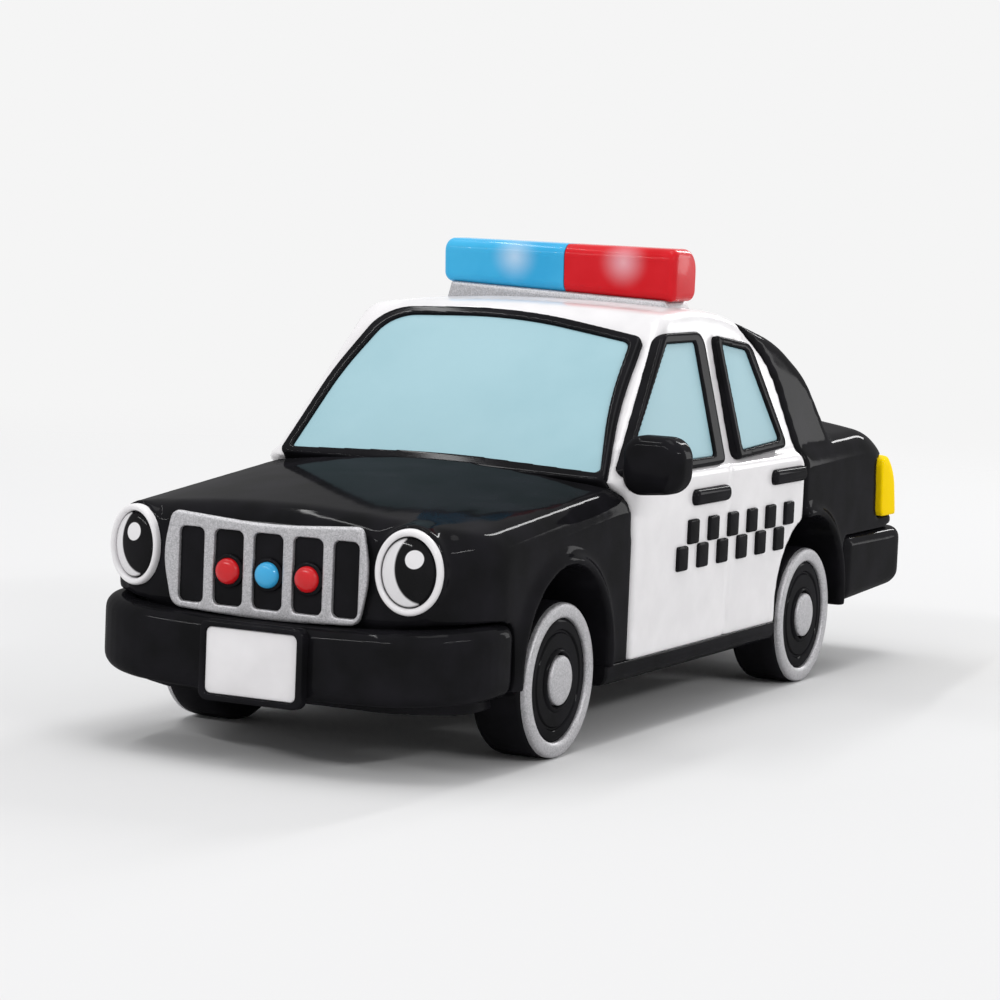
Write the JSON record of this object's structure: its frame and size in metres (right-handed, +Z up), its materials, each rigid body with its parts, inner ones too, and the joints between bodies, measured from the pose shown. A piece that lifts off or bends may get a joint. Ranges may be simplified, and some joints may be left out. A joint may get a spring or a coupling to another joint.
{
  "type": "police car ornament",
  "caption": "Rounded police saloon ornament with rolling wheels, a red and blue light bar lit from a coin cell, an underside slide switch and a folding wire loop on the roof.",
  "frame": {"origin": "on the ground where the wheels stand, under the middle of the outline; the car's own middle plane is at X -2.7 mm, because only the left side has a mirror", "axes": "+Z up, -Y towards the nose, +X towards the car's left side"},
  "size_m": [0.0484, 0.12, 0.049],
  "materials": {
    "gloss_black": "high gloss black paint",
    "gloss_white": "high gloss white paint",
    "sky_pane": "opaque pale blue paint, soft gloss",
    "silver_paint": "sparkling silver paint",
    "lamp_red": "gloss translucent red",
    "lamp_blue": "gloss translucent blue",
    "lamp_amber": "gloss yellow",
    "steel": "bare steel",
    "board_green": "green circuit board"
  },
  "bodies": {
    "car": {"front_shell": "gloss_black", "rear_shell": "gloss_black", "front_bumper": "gloss_black", "rear_bumper": "gloss_black", "floor_pan": "gloss_black", "windscreen_frame": "gloss_black", "rear_window_frame": "gloss_black", "number_plate_frame": "gloss_black", "lamp_cable": "gloss_black", "front_window_frame_left": "gloss_black", "front_window_frame_right": "gloss_black", "rear_side_window_frame_left": "gloss_black", "rear_side_window_frame_right": "gloss_black", "front_door_handle_left": "gloss_black", "front_door_handle_right": "gloss_black", "rear_door_handle_left": "gloss_black", "rear_door_handle_right": "gloss_black", "mirror_left": "gloss_black", "headlight_lens_left": "gloss_black", "headlight_lens_right": "gloss_black", "cabin_shell": "gloss_white", "number_plate": "gloss_white", "headlight_bezel_left": "gloss_white", "headlight_bezel_right": "gloss_white", "windscreen": "sky_pane", "rear_window": "sky_pane", "front_window_left": "sky_pane", "front_window_right": "sky_pane", "rear_side_window_left": "sky_pane", "rear_side_window_right": "sky_pane", "grille_frame": "silver_paint", "light_bar_base": "silver_paint", "light_bar_lens_red": "lamp_red", "grille_lamp_right": "lamp_red", "grille_lamp_left": "lamp_red", "light_bar_lens_blue": "lamp_blue", "grille_lamp_middle": "lamp_blue", "tail_lamp_left": "lamp_amber", "tail_lamp_right": "lamp_amber", "hanger_eyelet": "steel", "front_screw": "steel", "rear_screw": "steel", "coin_cell": "steel", "battery_contact": "steel", "circuit_board": "board_green", "light_bar_strip": "board_green"},
    "front_axle_set": {"front_axle": "silver_paint", "front_wheel_left": "gloss_black", "front_wheel_right": "gloss_black", "front_wheel_ring_left": "silver_paint", "front_wheel_ring_right": "silver_paint"},
    "rear_axle_set": {"rear_axle": "silver_paint", "rear_wheel_left": "gloss_black", "rear_wheel_right": "gloss_black", "rear_wheel_ring_left": "silver_paint", "rear_wheel_ring_right": "silver_paint"},
    "switch": {"switch_slider": "gloss_white"},
    "battery_door": {"battery_cap": "gloss_black"},
    "hanger": {"hanger_loop": "steel"}
  },
  "joints": [
    {"name": "front_axle_spin", "type": "hinge", "parent": "car", "child": "front_axle_set", "pos_m": [-0.0027, -0.0353, 0.0077], "axis": [1, 0, 0], "continuous": true},
    {"name": "rear_axle_spin", "type": "hinge", "parent": "car", "child": "rear_axle_set", "pos_m": [-0.0027, 0.0286, 0.0077], "axis": [1, 0, 0], "continuous": true},
    {"name": "switch_slide", "type": "slide", "parent": "car", "child": "switch", "axis": [1, 0, 0], "range_m": [0, 0.0024]},
    {"name": "battery_cap_turn", "type": "hinge", "parent": "car", "child": "battery_door", "pos_m": [-0.0027, -0.006, 0.0066], "axis": [0, 0, 1], "range_deg": [0, 45]},
    {"name": "hanger_swing", "type": "hinge", "parent": "car", "child": "hanger", "pos_m": [-0.0027, 0.0182, 0.04261], "axis": [1, 0, 0], "range_deg": [0, 112]}
  ]
}
